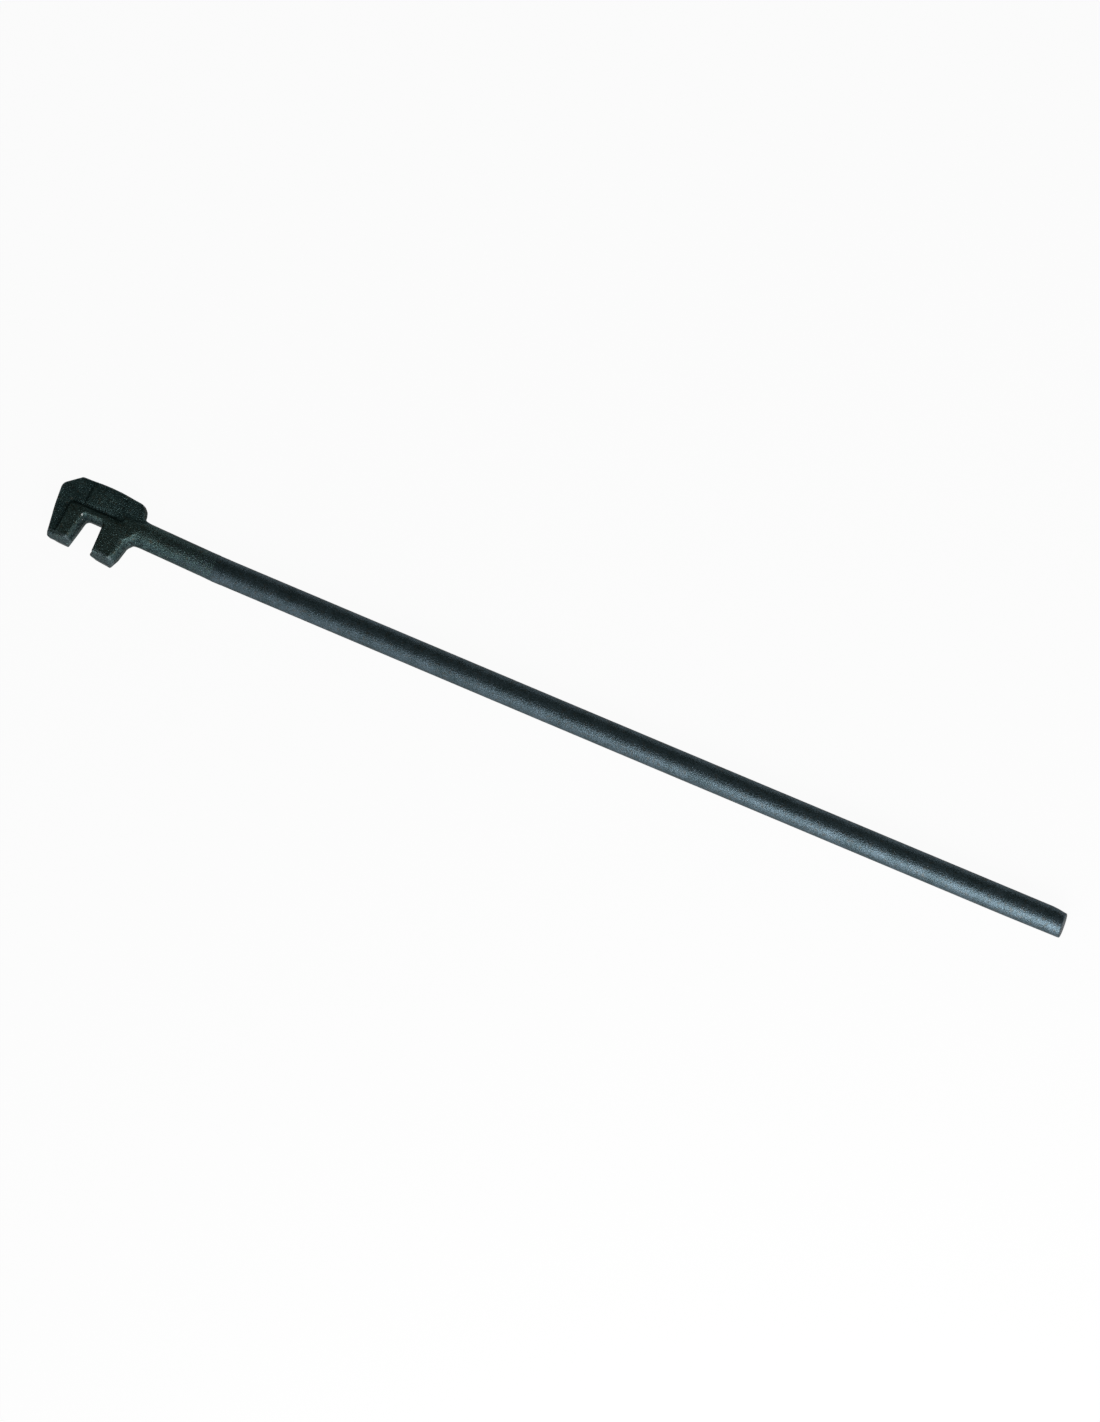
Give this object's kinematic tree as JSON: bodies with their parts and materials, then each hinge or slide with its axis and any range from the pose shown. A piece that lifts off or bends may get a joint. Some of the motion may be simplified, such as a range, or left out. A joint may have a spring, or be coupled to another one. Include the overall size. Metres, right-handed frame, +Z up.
{
  "type": "rebar bending claw",
  "caption": "Hand tool for bending reinforcing bar: a forged claw head with two jaws and an open slot on the end of a long plain round steel bar.",
  "frame": {"origin": "bottom centre of the whole tool lying flat", "axes": "+X along the bar from the claw head to the free end, +Y towards the spine of the head (the jaws open towards -Y), +Z up out of the flat side"},
  "size_m": [0.6484, 0.044, 0.016],
  "materials": {
    "forged_head": "drop-forged steel under thin satin grey-green black lacquer",
    "bar_steel": "hot-rolled round steel under thin satin grey-green black lacquer",
    "weld_metal": "butt weld dressed flush and lacquered over"
  },
  "bodies": {
    "root": {"claw_head": "forged_head", "handle_bar": "bar_steel", "groove_weld": "weld_metal"}
  },
  "joints": []
}
